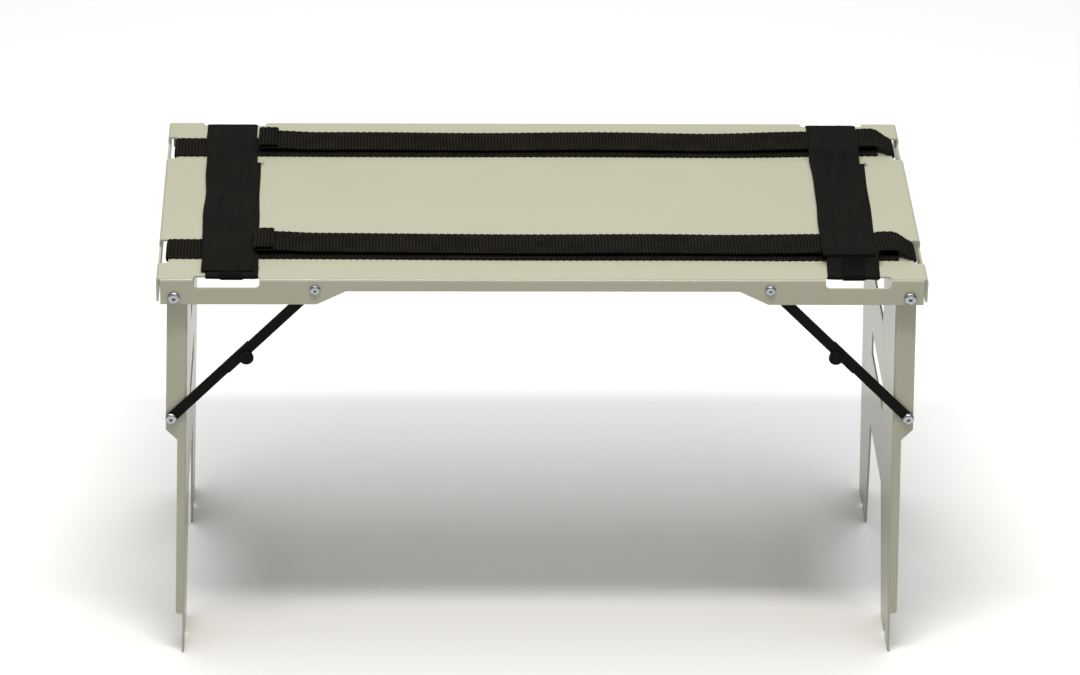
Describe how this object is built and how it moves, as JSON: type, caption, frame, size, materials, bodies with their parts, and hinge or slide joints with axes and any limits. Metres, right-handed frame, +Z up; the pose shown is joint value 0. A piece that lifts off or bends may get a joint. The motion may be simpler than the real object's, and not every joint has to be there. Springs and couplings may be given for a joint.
{
  "type": "folding table",
  "caption": "Low folding sheet-metal board on two folding end legs with locking braces, with webbing and cross straps around its deck.",
  "frame": {"origin": "on the floor under the middle of the object", "axes": "+X along the deck to its right end, +Y from the front to the back, +Z up"},
  "size_m": [0.7376, 0.3588, 0.4262],
  "materials": {
    "painted_sheet": "satin powder coat, pale grey-green beige",
    "black_metal": "satin black",
    "zinc_plate": "bright zinc plate",
    "webbing": "ribbed woven webbing",
    "strap_cloth": "flat woven strap, sewn"
  },
  "bodies": {
    "deck": {"deck": "painted_sheet", "leg_pivot_screws": "zinc_plate", "leg_pivot_spacers": "zinc_plate", "leg_pivot_nuts": "zinc_plate", "brace_top_screws": "zinc_plate", "brace_top_spacers": "zinc_plate", "brace_top_nuts": "zinc_plate", "front_webbing": "webbing", "back_webbing": "webbing", "left_cross_strap": "strap_cloth", "right_cross_strap": "strap_cloth", "left_strap_strip": "strap_cloth", "right_strap_strip": "strap_cloth"},
    "left_leg": {"left_leg": "painted_sheet", "left_brace_foot_screws": "zinc_plate", "left_brace_foot_nuts": "zinc_plate"},
    "left_upper_links": {"left_front_upper_link": "black_metal", "left_back_upper_link": "black_metal", "left_front_knee_rivet": "black_metal", "left_back_knee_rivet": "black_metal"},
    "left_lower_links": {"left_front_lower_link": "black_metal", "left_back_lower_link": "black_metal", "left_front_rivet_tail": "black_metal", "left_back_rivet_tail": "black_metal"},
    "right_leg": {"right_leg": "painted_sheet", "right_brace_foot_screws": "zinc_plate", "right_brace_foot_nuts": "zinc_plate"},
    "right_upper_links": {"right_front_upper_link": "black_metal", "right_back_upper_link": "black_metal", "right_front_knee_rivet": "black_metal", "right_back_knee_rivet": "black_metal"},
    "right_lower_links": {"right_front_lower_link": "black_metal", "right_back_lower_link": "black_metal", "right_front_rivet_tail": "black_metal", "right_back_rivet_tail": "black_metal"}
  },
  "joints": [
    {"name": "left_leg_fold", "type": "hinge", "parent": "deck", "child": "left_leg", "pos_m": [-0.352, 0, 0.4005], "axis": [0, -1, 0], "range_deg": [0, 91]},
    {"name": "left_upper_brace_turn", "type": "hinge", "parent": "deck", "child": "left_upper_links", "pos_m": [-0.2175, 0, 0.409], "axis": [0, -1, 0], "range_deg": [-46, 0]},
    {"name": "left_lower_brace_turn", "type": "hinge", "parent": "left_leg", "child": "left_lower_links", "pos_m": [-0.35732, 0, 0.26599], "axis": [0, -1, 0], "range_deg": [0, 44]},
    {"name": "right_leg_fold", "type": "hinge", "parent": "deck", "child": "right_leg", "pos_m": [0.352, 0, 0.4005], "axis": [0, 1, 0], "range_deg": [0, 89]},
    {"name": "right_upper_brace_turn", "type": "hinge", "parent": "deck", "child": "right_upper_links", "pos_m": [0.2175, 0, 0.409], "axis": [0, 1, 0], "range_deg": [-46, 0]},
    {"name": "right_lower_brace_turn", "type": "hinge", "parent": "right_leg", "child": "right_lower_links", "pos_m": [0.35732, 0, 0.26599], "axis": [0, 1, 0], "range_deg": [0, 44]}
  ],
  "couplings": [
    {"joint": "left_upper_brace_turn", "follows": "left_leg_fold", "ratio": -0.49261},
    {"joint": "left_lower_brace_turn", "follows": "left_leg_fold", "ratio": 0.47613},
    {"joint": "right_upper_brace_turn", "follows": "right_leg_fold", "ratio": -0.49723},
    {"joint": "right_lower_brace_turn", "follows": "right_leg_fold", "ratio": 0.48548}
  ]
}
